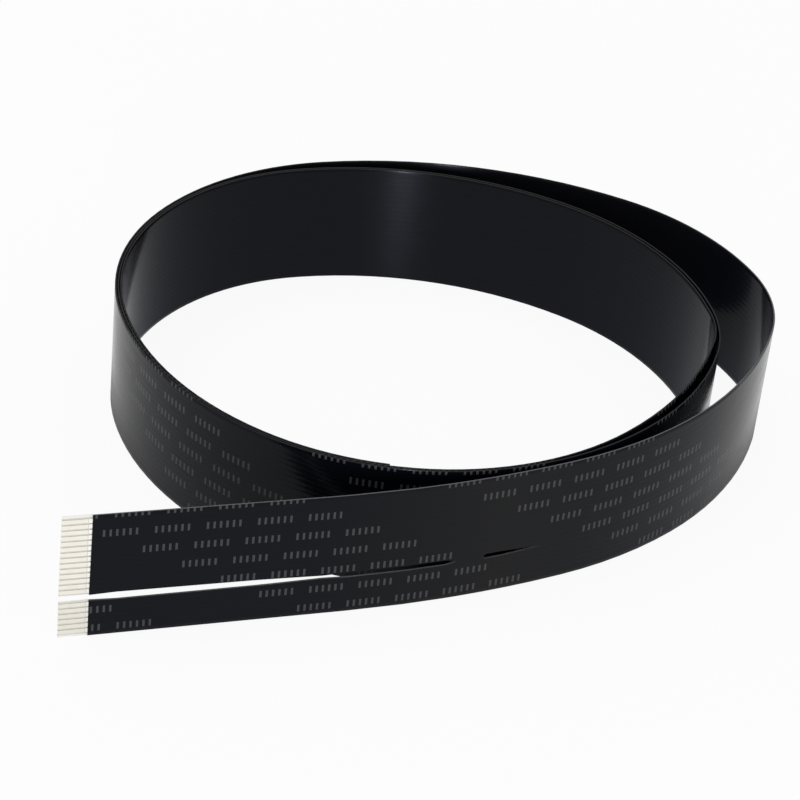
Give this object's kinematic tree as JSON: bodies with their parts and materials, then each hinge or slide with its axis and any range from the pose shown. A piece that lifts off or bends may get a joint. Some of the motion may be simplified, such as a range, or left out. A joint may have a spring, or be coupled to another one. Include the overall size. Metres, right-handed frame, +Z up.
{
  "type": "ribbon cable",
  "caption": "Flat black ribbon cable standing on edge in loose turns, one end split into a wide and a narrow leg with bare contacts.",
  "frame": {"origin": "centre of the standing cable's footprint, on the floor plane of its lower long edge", "axes": "+X along the straight lead, from the split end towards the first turn; +Y from the lead across the coil; +Z up, across the ribbon's width"},
  "size_m": [0.126, 0.0944, 0.0225],
  "materials": {
    "jacket": "glossy black polyester film, both films bonded together",
    "contacts": "flat copper conductors, tinned, silver in colour",
    "tape": "white polyester stiffening tape, satin"
  },
  "bodies": {
    "root": {"jacket": "jacket", "conductor_01": "contacts", "conductor_02": "contacts", "conductor_03": "contacts", "conductor_04": "contacts", "conductor_05": "contacts", "conductor_06": "contacts", "conductor_07": "contacts", "conductor_08": "contacts", "conductor_09": "contacts", "conductor_10": "contacts", "conductor_11": "contacts", "conductor_12": "contacts", "conductor_13": "contacts", "conductor_14": "contacts", "conductor_15": "contacts", "conductor_16": "contacts", "conductor_17": "contacts", "conductor_18": "contacts", "conductor_19": "contacts", "conductor_20": "contacts", "tape_wide": "tape", "tape_narrow": "tape", "tape_far": "tape"}
  },
  "joints": []
}
